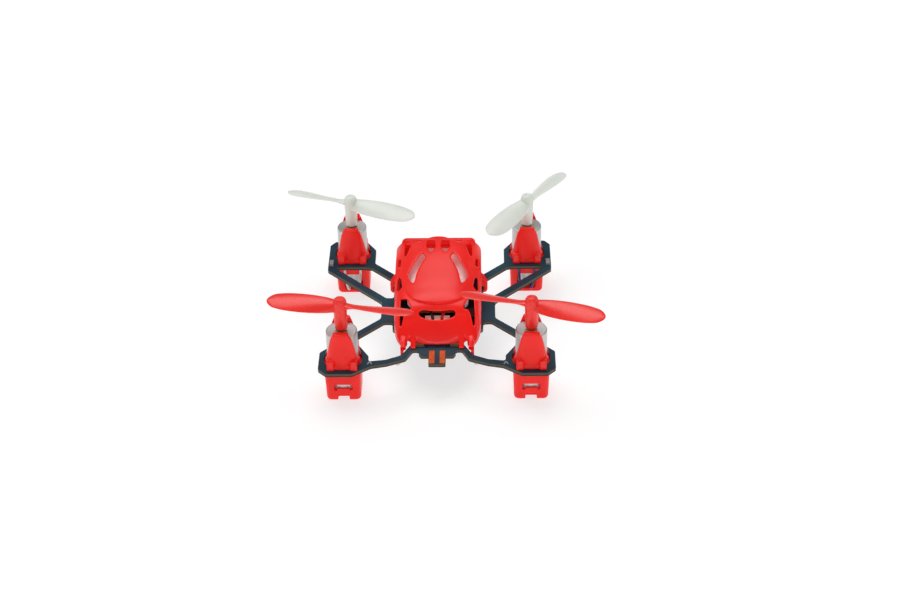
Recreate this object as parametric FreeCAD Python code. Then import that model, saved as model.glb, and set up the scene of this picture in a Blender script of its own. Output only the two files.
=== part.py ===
"""Mini palm drone: a nano quadcopter whose frame is its own circuit board.

Millimetres. +X is the drone's right, -Y its front, +Z up. The origin is on the ground
plane, at the centre of the four rotor axes.
"""
import FreeCAD, Part
import math
import os

V = FreeCAD.Vector

# ---- driving dimensions: layout ----
motor_spacing_x = 36.0
motor_spacing_y = 36.4
board_top = 7.7
board_thickness = 0.8

# ---- motors ----
can_radius = 3.0
can_length = 12.0
can_wall = 0.25
can_base_z = 2.5
shaft_radius = 0.4
bearing_clearance = 0.03
bush_wall = 0.6
coil_clearance = 0.25       # round the magnet, and to the can
coil_wall = 0.5
commutator_wall = 0.35

# ---- motor holders ----
holder_side_wall = 0.425
holder_end_wall = 0.4
holder_floor = 0.8
can_clearance = 0.04
tongue_thickness = 0.5
tongue_clearance = 0.11     # tongue to the ring's hole
foot_hole_radius = 1.2

# ---- propellers ----
propeller_radius = 14.2
hub_radius = 1.25
hub_height = 6.8
hub_gap = 0.25              # running gap over the top bush
blade_root_z = 4.85         # blade line above the hub's lower end
hub_press_depth = 5.0

# ---- battery ----
cell_width = 12.0
cell_length = 14.6
cell_thickness = 4.9
cell_rear_y = 10.4
pad_thickness = 0.6

# ---- electronics ----
chip_height = 0.9
chip_side = 6.0
wire_radius = 0.3
lead_radius = 0.25
switch_travel = 1.5
slide_clearance = 0.1
lamp_radius = 0.6

# ---- canopy ----
canopy_wall = 0.8
canopy_side_room = 2.5      # cell to the canopy's outer side
canopy_head_room = 2.7      # cell to the canopy's top
canopy_rear_y = 11.4
canopy_seat_gap = 0.05
hood_front_y = -9.6
hood_nose_radius = 7.6
face_front_y = -15.0
jaw_gap = 0.7               # jaw edge above the board

# ---- board outline ----
board_margin = 0.4          # board outside the canopy
body_rear_y = 10.8
body_front_y = -15.6
node_reach = 2.4            # where the outer struts meet, outside the body
strut_width = 1.5
ring_band = 1.05            # board round a motor hole
tab_width = 3.3
tab_length = 2.7
nose_half_width = 3.55
nose_length = 1.8
via_radius = 0.2

# ---- worked out ----
board_bottom = board_top - board_thickness
motor_x = motor_spacing_x / 2
motor_y = motor_spacing_y / 2
can_top = can_base_z + can_length
can_bore = can_radius - can_wall
coil_radius = can_bore - coil_clearance
magnet_radius = coil_radius - coil_wall - coil_clearance
bush_radius = shaft_radius + bush_wall
commutator_radius = shaft_radius + commutator_wall
bush_top_z = can_top + 0.3
hub_base = bush_top_z + hub_gap
hub_top = hub_base + hub_height
holder_half_width = can_radius + holder_side_wall
holder_half_depth = can_radius + holder_end_wall
tongue_inner = can_radius + can_clearance + 0.05
tongue_outer = tongue_inner + tongue_thickness
ring_hole_radius = tongue_outer + tongue_clearance
ring_half = ring_hole_radius + ring_band
cell_base = board_top + chip_height + pad_thickness
cell_front_y = cell_rear_y - cell_length
canopy_half_width = cell_width / 2 + canopy_side_room
canopy_top = cell_base + cell_thickness + canopy_head_room
body_half_width = canopy_half_width + board_margin
node_half_width = body_half_width + node_reach

CORNERS = {
    "front_left": (-1, -1),
    "front_right": (1, -1),
    "rear_left": (-1, 1),
    "rear_right": (1, 1),
}
# blade line at rest, degrees from +X, and turning sense seen from above (+1 counterclockwise)
ROTORS = {
    "front_left": (-9.5, -1),
    "front_right": (-17.0, 1),
    "rear_left": (-21.5, 1),
    "rear_right": (56.5, -1),
}


# ---- helpers ----
def box(x0, x1, y0, y1, z0, z1):
    """Box from its low corner to its high corner."""
    return Part.makeBox(x1 - x0, y1 - y0, z1 - z0, V(x0, y0, z0))


def disc(x, y, z0, z1, radius):
    """Upright cylinder."""
    return Part.makeCylinder(radius, z1 - z0, V(x, y, z0))


def tube(x, y, z0, z1, outer, inner):
    """Upright tube."""
    return disc(x, y, z0, z1, outer).cut(disc(x, y, z0 - 1, z1 + 1, inner))


def rounded_wire(corners):
    """Closed wire in z = 0 through (x, y, radius) corners, with tangent arcs."""
    edges = []
    starts = []
    ends = []
    count = len(corners)
    for i, (x, y, radius) in enumerate(corners):
        here = V(x, y, 0)
        back = V(*corners[i - 1][:2], 0) - here
        ahead = V(*corners[(i + 1) % count][:2], 0) - here
        if radius <= 0:
            starts.append(here)
            ends.append(here)
            edges.append(None)
            continue
        half_turn = back.getAngle(ahead) / 2
        reach = radius / math.tan(half_turn)
        back.normalize()
        ahead.normalize()
        middle = back + ahead
        middle.normalize()
        bulge = radius / math.sin(half_turn) - radius
        starts.append(here + back * reach)
        ends.append(here + ahead * reach)
        edges.append(Part.Arc(starts[-1], here + middle * bulge, ends[-1]).toShape())
    path = []
    for i in range(count):
        if edges[i] is not None:
            path.append(edges[i])
        path.append(Part.LineSegment(ends[i], starts[(i + 1) % count]).toShape())
    return Part.Wire(path)


def plate(corners, z0, z1):
    """Flat plate from rounded corners."""
    solid = Part.Face(rounded_wire(corners)).extrude(V(0, 0, z1 - z0))
    solid.translate(V(0, 0, z0))
    return solid


def mirrored(shape, normal):
    """Mirror image through the plane x = 0 or y = 0."""
    return shape.mirror(V(0, 0, 0), normal)


def both_sides(shape):
    """The shape and its mirror image in x."""
    return [shape, mirrored(shape, V(1, 0, 0))]


def prism_x(points, x0, x1):
    """Polygon given as (y, z), extruded along X."""
    wire = Part.makePolygon([V(x0, y, z) for y, z in points + points[:1]])
    return Part.Face(wire).extrude(V(x1 - x0, 0, 0))


def prism_y(points, y0, y1):
    """Polygon given as (x, z), extruded along Y."""
    wire = Part.makePolygon([V(x, y0, z) for x, z in points + points[:1]])
    return Part.Face(wire).extrude(V(0, y1 - y0, 0))


def slab(x0, x1, y0, y1, z0, z1, radius):
    """Box with rounded upright corners."""
    corners = [(x0, y0, radius), (x1, y0, radius), (x1, y1, radius), (x0, y1, radius)]
    return plate(corners, z0, z1)


def place(shape, corner):
    """Moves a shape made for a front corner to the named corner."""
    side, end = CORNERS[corner]
    if end > 0:
        shape = mirrored(shape, V(0, 1, 0))
    shape.translate(V(side * motor_x, end * motor_y, 0))
    return shape


def pipe(points, radius, bend):
    """Round wire through points, with a tangent arc at each inner point."""
    path = []
    last = points[0]
    for before, here, after in zip(points, points[1:], points[2:]):
        back = before - here
        ahead = after - here
        half_turn = back.getAngle(ahead) / 2
        reach = min(bend / math.tan(half_turn), 0.45 * min(back.Length, ahead.Length))
        arc_radius = reach * math.tan(half_turn)
        back.normalize()
        ahead.normalize()
        middle = back + ahead
        middle.normalize()
        start = here + back * reach
        end = here + ahead * reach
        bulge = arc_radius / math.sin(half_turn) - arc_radius
        path.append(Part.LineSegment(last, start).toShape())
        path.append(Part.Arc(start, here + middle * bulge, end).toShape())
        last = end
    path.append(Part.LineSegment(last, points[-1]).toShape())
    spine = Part.Wire(path)
    ring = Part.Wire(Part.Circle(points[0], points[1] - points[0], radius).toShape())
    return spine.makePipeShell([ring], True, False)


def save(name, *shapes):
    """Writes one node as parts/NAME.step."""
    solids = [solid for shape in shapes for solid in shape.Solids]
    result = solids[0] if len(solids) == 1 else Part.makeCompound(solids)
    result.exportStep("parts/" + name + ".step")


# ---- frame board ----
def brace_line():
    """x + y along the outer edge of the slanted strut behind a front ring."""
    return motor_x - motor_y + ring_half * math.sqrt(2)


def rear_line():
    """x - y along the outer edge of the slanted strut before a rear ring."""
    return motor_x - motor_y + 2 * ring_half + 1.35


def node_x():
    """Half the board's width where the struts of one side meet."""
    return max(node_half_width, (brace_line() + rear_line()) / 2 + 0.7)


def right_half_outline():
    """Right-hand half of the board's outline, front to rear, as (x, y, radius)."""
    front = -motor_y
    nose_y = body_front_y - nose_length
    ring_in = motor_x - ring_half
    ring_out = motor_x + ring_half
    brace = brace_line()
    return [
        (tab_width / 2, nose_y - tab_length, 0.3),
        (tab_width / 2, nose_y, 0.15),
        (nose_half_width - 0.45, nose_y, 0.1),
        (nose_half_width, nose_y + 0.8, 0.3),
        (nose_half_width, body_front_y + 0.1, 0.5),
        (nose_half_width + 1.2, body_front_y + 0.1, 0.5),
        (nose_half_width + 2.5, body_front_y - 2.7, 1.0),
        (ring_in - 3.6, front - 1.65, 2.5),
        (ring_in - 0.6, front - 2.35, 1.5),
        (motor_x - 1.8, front - ring_half - 0.1, 0.7),
        (motor_x + 3.1, front - ring_half - 0.1, 0.6),
        (ring_out - 0.1, front - ring_half + 1.5, 0.6),
        (ring_out - 0.1, brace - ring_out, 0.9),
        (node_x(), brace - node_x() - 0.3, 1.2),
        (node_x(), node_x() - rear_line(), 1.6),
        (ring_out + 0.2, motor_y - ring_half - 1.15, 0.7),
        (ring_out + 0.2, motor_y + ring_half - 1.6, 0.6),
        (ring_out - 0.9, motor_y + ring_half - 0.15, 0.6),
        (motor_x - 2.6, motor_y + ring_half - 0.15, 0.6),
        (ring_in + 0.05, motor_y + 1.3, 0.6),
        (ring_in + 0.05, ring_in + 1.3, 0.8),
        (body_half_width - 0.6, body_half_width + 0.65, 1.2),
        (body_half_width - 1.6, body_rear_y, 0.5),
    ]


def front_gap():
    """Gap between the front struts, right-hand side."""
    front = -motor_y
    ring_in = motor_x - ring_half
    brace = brace_line() - strut_width * math.sqrt(2)
    return [
        (ring_in - 0.1, front - 0.95, 0.5),
        (ring_in - 0.1, front + 0.7, 0.8),
        (motor_x - 2.6, front + ring_half - 0.2, 0.8),
        (brace - front - ring_half + 0.1, front + ring_half - 0.1, 0.4),
        (node_x() - 0.7, brace - node_x() + 0.7, 0.7),
        (body_half_width, brace - node_x() + 0.7, 0.6),
        (body_half_width, -8.6, 1.0),
        (5.1, body_front_y + 3.4, 1.0),
        (5.2, body_front_y + 1.6, 1.0),
        (canopy_half_width - 1.6, body_front_y - 1.65, 1.2),
        (ring_in - 3.4, front - 0.45, 2.0),
    ]


def rear_gap():
    """Gap between the rear struts, right-hand side."""
    ring_front = motor_y - ring_half - 0.15
    inner_line = rear_line() - strut_width * math.sqrt(2)
    node_y = node_x() - 0.8 - inner_line
    return [
        (ring_front + inner_line, ring_front, 0.4),
        (motor_x - 2.4, ring_front, 0.8),
        (motor_x - ring_half + 0.6, ring_front - 0.3, 0.5),
        (body_half_width + 0.1, body_half_width - 0.85, 0.5),
        (body_half_width + 0.1, node_y, 0.5),
        (node_x() - 0.8, node_y, 0.7),
    ]


def make_board():
    """Circuit board that is also the frame, with four motor rings."""
    right = right_half_outline()
    left = [(-x, y, radius) for x, y, radius in reversed(right)]
    board = plate(right + left, board_bottom, board_top)
    for gap in (front_gap(), rear_gap()):
        for cutter in both_sides(plate(gap, board_bottom - 1, board_top + 1)):
            board = board.cut(cutter)
    for side, end in CORNERS.values():
        x, y = side * motor_x, end * motor_y
        board = board.cut(disc(x, y, board_bottom - 1, board_top + 1, ring_hole_radius))
    for x in (-2.1, 0.0, 2.1):
        board = board.cut(disc(x, body_front_y + 0.9, board_bottom - 1, board_top + 1, via_radius))
    return board


def make_contacts():
    """Gold charging contacts on the front tab."""
    tab_y = body_front_y - nose_length - tab_length
    strips = []
    for x in (-1.55, 0.5):
        strips.append(slab(x, x + 1.05, tab_y + 0.1, tab_y + 4.2, board_top, board_top + 0.06, 0.1))
    return strips


# ---- motor holders ----
def make_holder():
    """Clip-in motor holder, which is also a foot. Made at a front corner, facing -Y."""
    half_w = holder_half_width
    half_d = holder_half_depth
    body = slab(-half_w, half_w, -half_d, half_d, 0, board_bottom, 1.0)
    bottom = [edge for edge in body.Edges if edge.BoundBox.ZMax < 0.01]
    body = body.makeFillet(0.7, bottom)
    for side in (-1, 1):
        x0, x1 = sorted((side * (half_w - 0.4), side * (ring_hole_radius + 0.25)))
        body = body.fuse(box(x0, x1, -1.4, 1.4, board_bottom - 0.7, board_bottom))
    body = body.cut(disc(0, 0, can_base_z, board_top, can_radius + can_clearance))
    body = body.cut(disc(0, 0, holder_floor, board_top, can_bore - 0.05))
    body = body.cut(disc(0, 0, -1, holder_floor + 1, foot_hole_radius))
    # slot in the outer face that shows the can, with its two short legs
    slot_top = can_base_z + 1.3
    body = body.cut(box(-1.65, 1.65, -half_d - 1, -2, slot_top - 0.75, slot_top))
    for x in (-1.65, 1.2):
        body = body.cut(box(x, x + 0.45, -half_d - 1, -2, can_base_z + 0.05, slot_top))
    # notch at the foot of the outer face
    body = body.cut(box(-1.05, 1.05, -half_d - 1, -half_d + 1.5, -1, 1.6))
    # opening in the inner face for the motor leads
    body = body.cut(slab_y(-1.9, 1.9, 1.15, 4.6, 1.5, half_d + 1, 0.5))
    tongue = make_tongue()
    return body.fuse([tongue, mirrored(tongue, V(0, 1, 0))]).removeSplitter()


def slab_y(x0, x1, z0, z1, y0, y1, radius):
    """Box with rounded corners in the XZ plane."""
    block = box(x0, x1, y0, y1, z0, z1)
    along = [edge for edge in block.Edges if edge.BoundBox.YLength > (y1 - y0) * 0.99]
    return block.makeFillet(radius, along)


def make_tongue():
    """Springy tongue that runs up the can, hooks over its top and latches on the board."""
    inner = tongue_inner
    outer = tongue_outer
    head_z = can_top + 1.2
    base_z = board_bottom - 1.0
    shape = [
        (-2.45, base_z),
        (-2.45, board_top + 0.15),
        (-3.3, board_top + 0.9),
        (-3.3, board_top + 3.3),
        (-2.5, board_top + 3.5),
        (-1.8, can_top - 0.6),
        (-1.2, head_z),
    ]
    outline = shape + [(-x, z) for x, z in reversed(shape)]
    tongue = prism_y(outline, -outer, 0)
    tongue = tongue.common(tube(0, 0, base_z, head_z, outer, inner))
    # crown that leans over the can
    crown = [(-1.5, can_top + 0.08), (1.5, can_top + 0.08), (1.2, head_z), (-1.2, head_z)]
    tongue = tongue.fuse(prism_y(crown, -inner - 0.1, -inner + 0.75))
    # latches over the board
    latch_back = -inner * 0.6
    latch = [
        (latch_back, board_top),
        (-ring_hole_radius - 0.35, board_top),
        (-ring_hole_radius - 0.25, board_top + 0.5),
        (-outer + 0.05, board_top + 1.7),
        (latch_back, board_top + 2.0),
    ]
    for x in (-2.9, 1.55):
        tongue = tongue.fuse(prism_x(latch, x, x + 1.35))
    return tongue.cut(disc(0, 0, base_z, can_top, inner))


# ---- motors ----
def make_can():
    """Steel motor case, closed at the top."""
    can = disc(0, 0, can_base_z, can_top, can_radius)
    rim = [edge for edge in can.Edges if edge.BoundBox.ZMin > can_top - 0.01]
    can = can.makeFillet(0.3, rim)
    can = can.cut(disc(0, 0, can_base_z - 1, can_top - 0.4, can_bore))
    return can.cut(disc(0, 0, can_base_z, can_top + 1, bush_radius))


def make_bushes():
    """Upper and lower shaft bushes."""
    bore = shaft_radius + bearing_clearance
    upper = tube(0, 0, can_top - 0.9, bush_top_z, bush_radius, bore)
    lower = tube(0, 0, can_base_z - 0.4, can_base_z + 0.5, bush_radius, bore)
    return [upper, lower]


def make_end_cap():
    """Plastic end cap in the open end of the can."""
    cap = disc(0, 0, can_base_z, can_base_z + 0.5, can_bore)
    cap = cap.fuse(disc(0, 0, can_base_z - 0.5, can_base_z, can_bore - 0.2))
    return cap.cut(disc(0, 0, 0, can_base_z + 2, bush_radius)).removeSplitter()


def make_magnet():
    """Tubular magnet fixed under the top of the can."""
    return tube(0, 0, can_base_z + 3.2, can_top - 0.4, magnet_radius, bush_radius)


def make_brushes():
    """Two brushes on the end cap, beside the commutator."""
    reach = commutator_radius + 0.1
    block = box(reach, reach + 0.5, -0.25, 0.25, can_base_z + 0.5, can_base_z + 1.3)
    return both_sides(block)


def make_coil():
    """Basket coil that turns round the magnet, on its plastic hub."""
    base = can_base_z + 2.1
    basket = tube(0, 0, base, can_top - 0.8, coil_radius, coil_radius - coil_wall)
    hub = tube(0, 0, base - 0.4, base + 0.5, coil_radius, shaft_radius)
    return basket.fuse(hub).removeSplitter()


def make_commutator():
    """Segmented collar on the shaft, under the coil."""
    ring = tube(0, 0, can_base_z + 0.7, can_base_z + 1.7, commutator_radius, shaft_radius)
    for turn in (0, 60, 120):
        gap = box(-2, 2, -0.05, 0.05, can_base_z + 0.9, can_base_z + 3)
        gap.rotate(V(0, 0, 0), V(0, 0, 1), turn)
        ring = ring.cut(gap)
    return ring


def make_shaft():
    """Motor shaft, from the lower bush up into the propeller hub."""
    return disc(0, 0, can_base_z - 0.3, hub_base + hub_press_depth, shaft_radius)


def make_leads():
    """Two motor leads that come out of the holder and go up to the board."""
    leads = []
    rise_y = ring_hole_radius + lead_radius
    start_z = can_base_z - 0.5 - lead_radius
    for side in (-1, 1):
        points = [
            V(side * 0.8, 1.0, start_z),
            V(side * 0.9, rise_y + 0.7, start_z - 0.1),
            V(side * 1.5, rise_y + 0.75, board_bottom - 2.6),
            V(side * 1.6, rise_y, board_bottom - 1.3),
            V(side * 1.6, rise_y, board_bottom),
        ]
        leads.append(pipe(points, lead_radius, 0.8))
    return leads


# ---- propellers ----
BLADE = [  # radius share, chord, pitch in degrees, thickness
    (0.06, 2.0, 30, 1.10),
    (0.18, 2.5, 28, 0.85),
    (0.38, 3.9, 23, 0.65),
    (0.60, 4.6, 18, 0.55),
    (0.80, 4.1, 14, 0.50),
    (0.93, 2.9, 12, 0.42),
    (1.00, 1.3, 11, 0.35),
]


def blade_section(share, chord, pitch, thickness):
    """Thin cambered section across the blade, leading edge at +Y and high."""
    x = share * propeller_radius
    angle = math.radians(pitch)
    along = V(0, math.cos(angle), math.sin(angle))
    up = V(0, -math.sin(angle), math.cos(angle))
    centre = V(x, 0, 0)
    camber = 0.05 * chord
    lead = centre + along * (chord * 0.5)
    trail = centre - along * (chord * 0.5)
    top = Part.Arc(lead, centre + up * (camber + thickness / 2), trail).toShape()
    under = Part.Arc(trail, centre + up * (camber - thickness / 2), lead).toShape()
    return Part.Wire([top, under])


def make_propeller():
    """Two-blade propeller that turns counterclockwise seen from above."""
    hub = disc(0, 0, hub_base, hub_top, hub_radius)
    crown = [edge for edge in hub.Edges if edge.BoundBox.ZMin > hub_top - 0.01]
    hub = hub.makeFillet(hub_radius * 0.72, crown)
    blade = Part.makeLoft([blade_section(*row) for row in BLADE], True, False)
    blade.translate(V(0, 0, hub_base + blade_root_z))
    other = blade.copy()
    other.rotate(V(0, 0, 0), V(0, 0, 1), 180)
    solid = hub.fuse([blade, other])
    return solid.cut(disc(0, 0, hub_base - 1, hub_base + hub_press_depth, shaft_radius))


# ---- canopy ----
HOOD = [  # y, half width, side height, top height, squareness
    (canopy_rear_y, canopy_half_width - 0.1, 12.6, canopy_top - 0.2, 3.3),
    (6.0, canopy_half_width, 12.2, canopy_top, 2.9),
    (0.0, canopy_half_width, 11.4, canopy_top - 0.5, 2.6),
    (-5.0, canopy_half_width, 10.6, canopy_top - 1.2, 2.4),
    (-11.0, canopy_half_width - 0.1, 9.8, canopy_top - 2.6, 2.3),
]
FACE = [
    (-2.0, canopy_half_width - 0.2, 10.6, canopy_top - 1.8, 2.5),
    (-8.0, canopy_half_width - 0.2, 10.2, canopy_top - 3.0, 2.6),
    (-11.0, canopy_half_width - 0.2, 9.6, canopy_top - 4.5, 2.7),
    (-13.4, canopy_half_width - 0.7, 8.9, canopy_top - 6.6, 2.8),
    (face_front_y, canopy_half_width - 1.9, 8.4, canopy_top - 8.1, 3.0),
]


def arch_wire(y, half_width, side_z, top_z, squareness, base_z):
    """Closed arch across the canopy at one station."""
    steps = 12
    points = []
    for i in range(steps + 1):
        angle = math.pi * i / steps
        c = math.cos(angle)
        s = math.sin(angle)
        x = half_width * math.copysign(abs(c) ** (2 / squareness), c)
        z = side_z + (top_z - side_z) * abs(s) ** (2 / squareness)
        points.append(V(x, y, z))
    curve = Part.BSplineCurve()
    curve.interpolate(points)
    right = V(half_width, y, base_z)
    left = V(-half_width, y, base_z)
    return Part.Wire([
        Part.LineSegment(right, points[0]).toShape(),
        curve.toShape(),
        Part.LineSegment(points[-1], left).toShape(),
        Part.LineSegment(left, right).toShape(),
    ])


def arch_solid(stations, inset, base_z):
    """Loft through stations, drawn in by the wall thickness."""
    wires = []
    for y, half_width, side_z, top_z, squareness in stations:
        wires.append(arch_wire(y, half_width - inset, side_z, top_z - inset, squareness, base_z))
    return Part.makeLoft(wires, True, False)


def hood_plan(inset):
    """Plan of the hood: straight sides and a round nose."""
    nose = hood_front_y + inset
    radius = hood_nose_radius
    half = canopy_half_width + 1
    corners = [
        (half, canopy_rear_y + 2, 0),
        (-half, canopy_rear_y + 2, 0),
        (-half, nose + 2.4, radius * 0.35),
        (-3.2, nose, radius),
        (3.2, nose, radius),
        (half, nose + 2.4, radius * 0.35),
    ]
    return plate(corners, board_top - 1, canopy_top + 2)


def canopy_shell():
    """Hood and face, hollowed to an even wall."""
    base = board_top + canopy_seat_gap
    low = base - 1
    outer = arch_solid(HOOD, 0, base).common(hood_plan(0))
    outer = outer.fuse(arch_solid(FACE, 0, base))
    inner = arch_solid(shifted(HOOD, canopy_wall), canopy_wall, low).common(hood_plan(canopy_wall))
    inner = inner.fuse(arch_solid(shifted(FACE, canopy_wall), canopy_wall, low))
    return outer.cut(inner)


def shifted(stations, wall):
    """Stations for the inside: the first runs on past the open rear, the last stops short."""
    rows = [list(row) for row in stations]
    rows[0][0] += wall
    rows[-1][0] += wall
    return rows


def window_cutters():
    """Openings in the canopy, as cutting solids."""
    high = canopy_top + 1
    low = canopy_top - 4.0
    cutters = []
    nostril = slab(0.6, 2.25, 4.6, 10.0, low, high, 0.6)
    gill_corners = [(-3.4, 5.6, 0.3), (-2.6, 3.6, 0.3), (-4.7, -3.5, 0.4), (-6.1, -1.4, 0.4)]
    gill = plate(gill_corners, low - 1, high)
    corner = plate([(-6.9, 9.0, 0.15), (-5.6, 9.0, 0.15), (-6.5, 5.2, 0.15)], low, high)
    slit = box(-9.5, -6.4, 2.8, 6.2, 12.4, 14.3)
    side = prism_x([(-4.2, 10.4), (0.8, 10.4), (0.8, 12.6), (-2.6, 13.2)], -9.5, -6.0)
    eye = prism_y([(-7.6, 9.4), (-7.6, 12.9), (-6.4, 13.0), (-5.2, 11.9), (-6.9, 10.6)], -14.0, -3.5)
    for cutter in (nostril, gill, corner, slit, side, eye):
        cutters += both_sides(cutter)
    # mouth: straight top edge, bowed lower edge
    top_z = 12.8
    left = V(-3.6, -16, top_z)
    right = V(3.6, -16, top_z)
    bow = Part.Arc(right, V(0, -16, top_z - 1.7), left).toShape()
    mouth = Part.Face(Part.Wire([Part.LineSegment(left, right).toShape(), bow]))
    cutters.append(mouth.extrude(V(0, 9, 0)))
    # under the jaw, between and beside its two legs
    jaw_z = board_top + jaw_gap
    cutters.append(box(-4.3, 4.3, face_front_y - 1, -12.4, board_top - 1, jaw_z))
    notch = prism_y([
        (5.5, board_top - 1),
        (5.5, jaw_z + 0.8),
        (6.1, jaw_z + 0.4),
        (6.1, board_top - 1),
    ], -17, -12.9)
    cutters += both_sides(notch)
    return cutters


def make_latches():
    """Side latches that grip the board's edge, and front feet that hook the struts."""
    grip = 0.1
    under = board_bottom - canopy_seat_gap
    ear_in = body_half_width + 0.1 + grip
    ear_out = ear_in + 0.75
    y0, y1 = 4.9, 7.6
    ear = prism_y([
        (canopy_half_width - 0.5, board_top + canopy_seat_gap),
        (ear_in, board_top + canopy_seat_gap),
        (ear_in, under),
        (ear_in - 0.4, under),
        (ear_in - 0.2, under - 0.6),
        (ear_out - 0.3, under - 0.6),
        (ear_out, under),
        (ear_out, board_top + 2.0),
        (canopy_half_width - 0.5, board_top + 3.4),
    ], y0, y1)
    foot_x = canopy_half_width - 2.4
    # foot: a cheek that comes down behind the front strut and hooks under it
    strut_back = body_front_y - 0.95
    cheek = prism_x([
        (face_front_y + 1.6, board_top + canopy_seat_gap),
        (strut_back - 0.3, board_top + canopy_seat_gap),
        (strut_back - 0.3, board_top + 0.6),
        (face_front_y + 0.6, board_top + 2.2),
        (face_front_y + 1.6, board_top + 2.6),
    ], foot_x, foot_x + 1.0)
    post = box(foot_x + 0.4, foot_x + 1.0, strut_back + 0.45, strut_back + 1.2, under - 0.5, board_top + 0.8)
    hook = box(foot_x, foot_x + 1.0, strut_back - 0.35, strut_back + 1.2, under - 0.5, under)
    foot = cheek.fuse([post, hook])
    # jaw leg that stands on the board
    leg_y = face_front_y + 0.1
    leg = box(4.35, 5.45, leg_y, leg_y + 1.1, board_top + canopy_seat_gap, board_top + 2.2)
    return both_sides(ear) + both_sides(foot) + both_sides(leg)


def make_rear_wall():
    """Rear frame of the canopy: a bar over the end of the cell and a post at each side."""
    y0 = canopy_rear_y - canopy_wall
    y1 = canopy_rear_y
    half = canopy_half_width - 1.8
    wall = box(-half, half, y0, y1, cell_base + 4.2, canopy_top - 1.0)
    post = box(half - 1.4, canopy_half_width - 0.6, y0, y1, board_top + canopy_seat_gap, cell_base + 4.6)
    return [wall] + both_sides(post)


def make_canopy():
    """Clip-on canopy over the battery."""
    shell = canopy_shell()
    for cutter in window_cutters():
        shell = shell.cut(cutter)
    return shell.fuse(make_latches() + make_rear_wall()).removeSplitter()


# ---- battery ----
def make_cell():
    """Pouch cell with rounded long edges."""
    half = cell_width / 2
    cell = box(-half, half, cell_front_y, cell_rear_y, cell_base, cell_base + cell_thickness)
    along = [e for e in cell.Edges if e.BoundBox.YLength > cell_length * 0.99]
    return cell.makeFillet(cell_thickness * 0.35, along)


def make_tape():
    """Amber tape over the cell's front end and its protection board."""
    half = cell_width / 2 + 0.1
    z0 = cell_base + 0.3
    z1 = cell_base + cell_thickness - 0.9
    front = cell_front_y - 1.6
    tape = box(-half + 0.8, half - 0.8, front, cell_front_y, z0, z1)
    return tape.cut(box(-half + 1.0, half - 1.0, front + 0.2, cell_front_y + 1, z0 + 0.2, z1 - 0.2))


def make_protection_board():
    """Small protection board inside the tape."""
    half = cell_width / 2 - 1.3
    z0 = cell_base + 1.2
    board = box(-half, half, cell_front_y - 1.0, cell_front_y, z0, z0 + 0.8)
    chip = box(-1.2, 1.2, cell_front_y - 0.9, cell_front_y - 0.1, z0 + 0.8, z0 + 1.5)
    return board.fuse(chip)


def make_pad():
    """Foam pad between the chips and the cell."""
    return box(-4.5, 4.5, -2.5, 8.5, board_top + chip_height, cell_base)


def make_socket():
    """Battery socket on the board, open at the front."""
    z0 = board_top
    body = box(-2.4, 2.4, -11.2, -8.4, z0, z0 + 3.0)
    return body.cut(box(-1.9, 1.9, -12, -9.2, z0 + 0.5, z0 + 4))


def make_plug():
    """Battery plug in the socket."""
    return box(-1.8, 1.8, -11.0, -9.3, board_top + 0.6, board_top + 2.6)


def make_battery_wire(side):
    """Battery wire from the plug up and back to the protection board."""
    plug_top = board_top + 2.6
    tape_front = cell_front_y - 1.6
    joint_z = cell_base + 1.9
    points = [
        V(side * 0.9, -10.1, plug_top),
        V(side * 0.9, -10.1, plug_top + 1.4),
        V(side * 1.5, -8.4, plug_top + 1.7),
        V(side * 2.6, tape_front - 1.0, joint_z),
        V(side * 2.6, tape_front, joint_z),
    ]
    return pipe(points, wire_radius, 0.5)


# ---- electronics on the board ----
def chip(x, y, width, length, height, turn=0):
    """Chip body standing on the board."""
    block = box(-width / 2, width / 2, -length / 2, length / 2, board_top, board_top + height)
    block.rotate(V(0, 0, 0), V(0, 0, 1), turn)
    block.translate(V(x, y, 0))
    return block


def row_of_parts(places, width, length, height):
    """Small parts of one kind, at (x, y, turn)."""
    return [chip(x, y, width, length, height, turn) for x, y, turn in places]


def make_transistors():
    """Motor transistors, one for each motor."""
    places = [(sx * 6.7, y, 0) for sx in (-1, 1) for y in (-4.6, 1.0)]
    return row_of_parts(places, 1.3, 2.9, 1.0)


def make_capacitors():
    """Ceramic capacitors."""
    places = [(-3.3, -14.2, 0), (3.3, -14.2, 0), (-6.4, -8.2, 90), (6.4, -8.2, 90)]
    return row_of_parts(places, 1.6, 0.8, 0.6)


def make_resistors():
    """Chip resistors."""
    places = [(sx * 5.6, y, 0) for sx in (-1, 1) for y in (4.4, 6.0, 7.6)]
    return row_of_parts(places, 1.2, 0.7, 0.4)


def make_front_leds():
    """Clear front lamps under the front struts."""
    centre = V(7.6, body_front_y - 2.0, board_bottom - lamp_radius)
    lamp = disc(centre.x, centre.y, centre.z, board_bottom, lamp_radius)
    dome = Part.makeSphere(lamp_radius, centre)
    return both_sides(lamp.fuse(dome).removeSplitter())


def make_rear_leds():
    """Surface-mounted rear lamps beside the rear rings."""
    x = motor_x + ring_half - 0.45
    return both_sides(chip(x, motor_y - ring_half + 1.0, 0.8, 1.6, 0.5))


def make_antenna():
    """Wire antenna, from the radio chip to the rear edge."""
    z = board_top + wire_radius
    points = [V(2.0, 3.3, z), V(7.0, 3.3, z), V(7.2, 9.6, z), V(5.6, 9.8, z)]
    return pipe(points, 0.2, 0.6)


def make_switch_housing():
    """Slide switch body under the rear edge of the board."""
    z1 = board_bottom
    body = box(-2.6, 2.6, body_rear_y - 2.6, body_rear_y - 0.4, z1 - 1.4, z1)
    slot = box(-1.6, 1.6, body_rear_y - 1.4, body_rear_y + 1, z1 - 1.1, z1 - 0.3)
    return body.cut(slot)


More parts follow.
